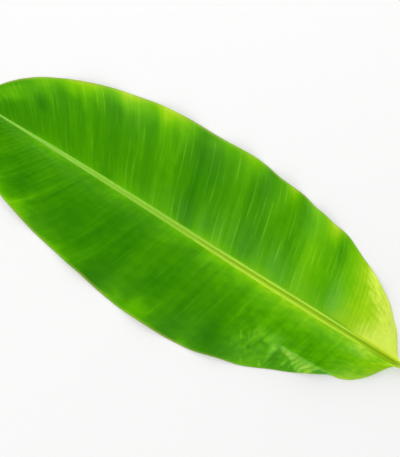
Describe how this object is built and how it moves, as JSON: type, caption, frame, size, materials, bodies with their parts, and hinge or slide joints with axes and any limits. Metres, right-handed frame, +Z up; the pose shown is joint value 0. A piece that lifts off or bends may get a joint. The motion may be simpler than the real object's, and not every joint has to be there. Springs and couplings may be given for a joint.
{
  "type": "banana leaf",
  "caption": "Freshly cut young banana leaf with a grooved midrib, a short stalk and gently waved margins, lying flat with its glossy side up.",
  "frame": {"origin": "on the surface that the leaf lies on, under the midrib and half-way along the whole leaf, stalk included", "axes": "+Y along the midrib from the stalk to the tip, +Z up out of the glossy upper side, +X across to the half that is on the right when looking to the tip"},
  "size_m": [0.3042, 0.81, 0.0227],
  "materials": {
    "leaf_green": "satin"
  },
  "bodies": {
    "root": {"banana_leaf": "leaf_green"}
  },
  "joints": []
}
